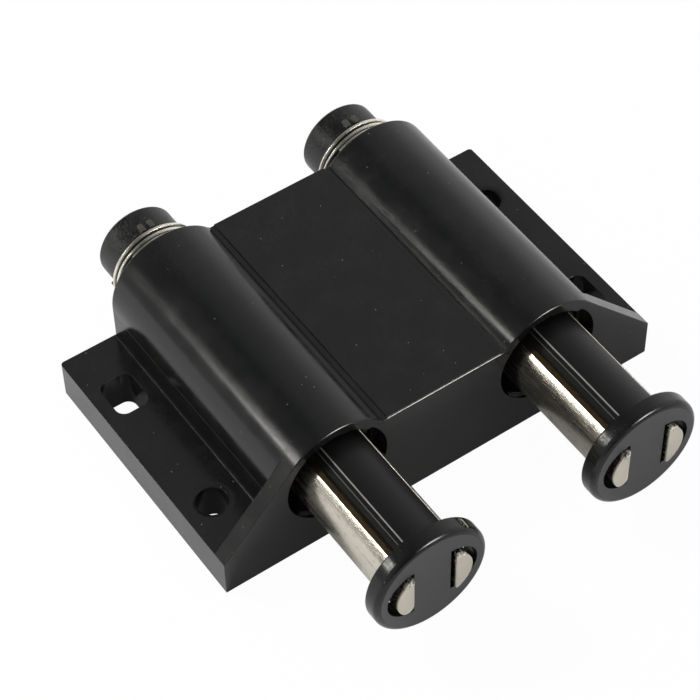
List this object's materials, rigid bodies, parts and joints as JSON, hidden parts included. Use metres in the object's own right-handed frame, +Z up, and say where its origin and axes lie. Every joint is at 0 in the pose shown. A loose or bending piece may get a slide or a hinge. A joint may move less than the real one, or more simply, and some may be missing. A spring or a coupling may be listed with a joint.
{
  "type": "double magnetic catch",
  "caption": "Black moulded double touch catch: a flanged housing with two side-by-side barrels, each with a sprung plunger and a round magnetic head with two steel poles.",
  "frame": {"origin": "centre of the four screw holes, on the flat underside that is screwed down", "axes": "+Z up from the underside, -Y the way the two magnetic heads point, +X to the right for someone who faces the heads"},
  "size_m": [0.064, 0.0652, 0.0195],
  "materials": {
    "housing_nylon": "moulded black nylon, semi-gloss with fine scuffs",
    "plunger_plastic": "moulded black acetal, semi-gloss",
    "black_acetal": "moulded black acetal, matt, inside the barrels",
    "pole_steel": "nickel plated, drawn lengthwise",
    "spring_steel": "bright nickel plated wire",
    "ferrite": "ground ferrite, hidden inside"
  },
  "bodies": {
    "base": {"housing": "housing_nylon", "left_guide_sleeve": "black_acetal", "left_main_spring": "spring_steel", "right_guide_sleeve": "black_acetal", "right_main_spring": "spring_steel"},
    "left_plunger": {"left_plunger_sleeve": "plunger_plastic", "left_magnet": "ferrite", "left_outer_pole": "pole_steel", "left_inner_pole": "pole_steel", "left_stem": "plunger_plastic", "left_tail_cap": "plunger_plastic", "left_cushion_spring": "spring_steel"},
    "left_cam": {"left_cam_ring": "black_acetal"},
    "right_plunger": {"right_plunger_sleeve": "plunger_plastic", "right_magnet": "ferrite", "right_outer_pole": "pole_steel", "right_inner_pole": "pole_steel", "right_stem": "plunger_plastic", "right_tail_cap": "plunger_plastic", "right_cushion_spring": "spring_steel"},
    "right_cam": {"right_cam_ring": "black_acetal"}
  },
  "joints": [
    {"name": "left_push", "type": "slide", "parent": "base", "child": "left_plunger", "axis": [0, 1, 0], "range_m": [0, 0.012], "stiffness_N_per_m": 250, "springref_m": -0.02, "deforming": ["left_main_spring"]},
    {"name": "left_cam_turn", "type": "hinge", "parent": "left_plunger", "child": "left_cam", "pos_m": [-0.0156, -0.01475, 0.0112], "axis": [0, 1, 0], "continuous": true},
    {"name": "right_push", "type": "slide", "parent": "base", "child": "right_plunger", "axis": [0, 1, 0], "range_m": [0, 0.012], "stiffness_N_per_m": 250, "springref_m": -0.02, "deforming": ["right_main_spring"]},
    {"name": "right_cam_turn", "type": "hinge", "parent": "right_plunger", "child": "right_cam", "pos_m": [0.0156, -0.01475, 0.0112], "axis": [0, 1, 0], "continuous": true}
  ]
}
